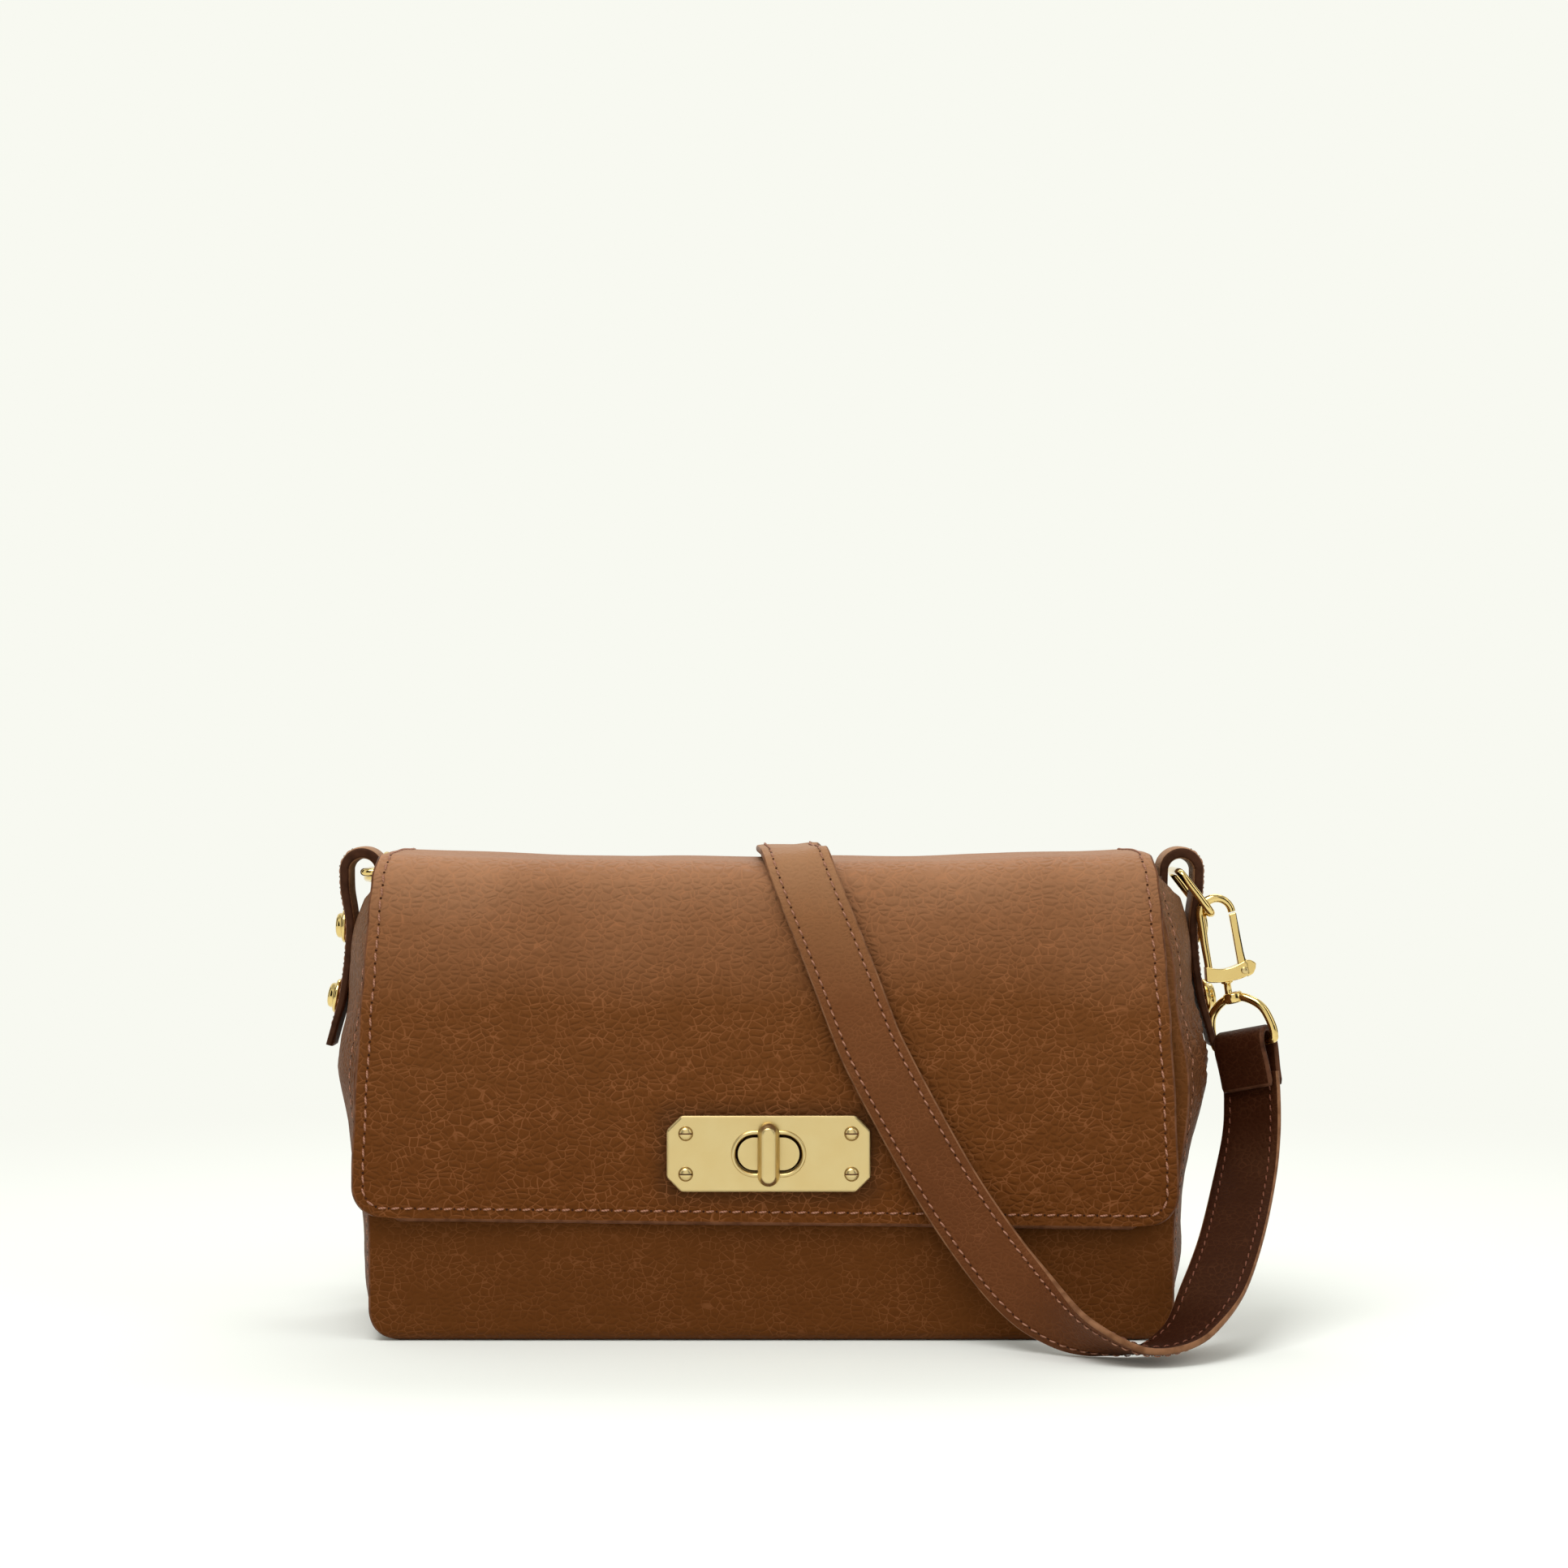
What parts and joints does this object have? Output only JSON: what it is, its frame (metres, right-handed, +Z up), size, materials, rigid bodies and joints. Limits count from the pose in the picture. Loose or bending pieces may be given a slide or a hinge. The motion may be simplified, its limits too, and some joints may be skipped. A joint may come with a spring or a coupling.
{
  "type": "sling bag",
  "caption": "Flap-over leather sling bag with turn-lock plate, bulging side gussets, tabbed rings and a flat strap with swivel snap hooks.",
  "frame": {"origin": "middle of the base on the surface the bag stands on", "axes": "+Z up, +Y to the back, +X along the bag's width"},
  "size_m": [0.3034, 0.1723, 0.155],
  "materials": {
    "tan_leather": "pebbled",
    "edge_leather": "painted edge",
    "dark_leather": "smooth",
    "lining_cloth": "woven",
    "board": "matt",
    "satin_gold": "satin",
    "polished_gold": "polished"
  },
  "bodies": {
    "bag": {"body_wrap": "tan_leather", "lining": "lining_cloth", "base_board": "board", "inner_pocket": "lining_cloth", "gusset_left": "tan_leather", "gusset_right": "tan_leather", "lock_base": "satin_gold", "strap_outer": "tan_leather", "strap_lining": "dark_leather", "tab_left": "edge_leather", "stud_left_upper": "polished_gold", "stud_left_lower": "polished_gold", "swivel_loop_left": "polished_gold", "strap_fold_left": "dark_leather", "tab_right": "edge_leather", "stud_right_upper": "polished_gold", "stud_right_lower": "polished_gold", "swivel_loop_right": "polished_gold", "strap_fold_right": "dark_leather"},
    "flap": {"flap_leather": "tan_leather", "flap_lining": "dark_leather", "lock_plate": "satin_gold", "lock_backing_plate": "polished_gold", "plate_screw_1": "satin_gold", "plate_screw_2": "satin_gold", "plate_screw_3": "satin_gold", "plate_screw_4": "satin_gold"},
    "knob": {"turn_knob": "satin_gold"},
    "ring_left": {"d_ring_left": "polished_gold"},
    "clip_left": {"clip_hook_left": "polished_gold", "gate_pin_left": "satin_gold", "swivel_post_left": "polished_gold"},
    "gate_left": {"clip_gate_left": "polished_gold"},
    "ring_right": {"d_ring_right": "polished_gold"},
    "clip_right": {"clip_hook_right": "polished_gold", "gate_pin_right": "satin_gold", "swivel_post_right": "polished_gold"},
    "gate_right": {"clip_gate_right": "polished_gold"}
  },
  "joints": [
    {"name": "flap_hinge", "type": "hinge", "parent": "bag", "child": "flap", "pos_m": [0, 0.0351, 0.141], "axis": [-1, 0, 0], "range_deg": [0, 85], "deforming": ["strap_outer", "strap_lining"]},
    {"name": "knob_turn", "type": "hinge", "parent": "bag", "child": "knob", "pos_m": [-0.0008, -0.045, 0.0585], "axis": [0, 1, 0], "range_deg": [0, 90]},
    {"name": "ring_right_swing", "type": "hinge", "parent": "bag", "child": "ring_right", "pos_m": [0.129, 0, 0.1439], "axis": [0, 1, 0], "range_deg": [-2, 2]},
    {"name": "ring_left_swing", "type": "hinge", "parent": "bag", "child": "ring_left", "pos_m": [-0.129, 0, 0.1439], "axis": [0, 1, 0], "range_deg": [-3, 3]},
    {"name": "clip_right_swivel", "type": "hinge", "parent": "bag", "child": "clip_right", "pos_m": [0.14685, -0.0105, 0.10515], "axis": [-0.225, 0, 0.9744], "range_deg": [-5, 5]},
    {"name": "gate_right_open", "type": "hinge", "parent": "clip_right", "child": "gate_right", "pos_m": [0.15115, -0.0105, 0.11231], "axis": [0, -1, 0], "range_deg": [0, 20], "stiffness_Nm_per_rad": 0.01, "springref_deg": -5.73},
    {"name": "clip_left_swivel", "type": "hinge", "parent": "bag", "child": "clip_left", "pos_m": [-0.125, 0.04158, 0.14128], "axis": [0, -0.9962, 0.0872], "range_deg": [-6, 6]},
    {"name": "gate_left_open", "type": "hinge", "parent": "clip_left", "child": "gate_left", "pos_m": [-0.125, 0.03509, 0.13602], "axis": [-1, 0, 0], "range_deg": [0, 20], "stiffness_Nm_per_rad": 0.01, "springref_deg": -5.73}
  ]
}
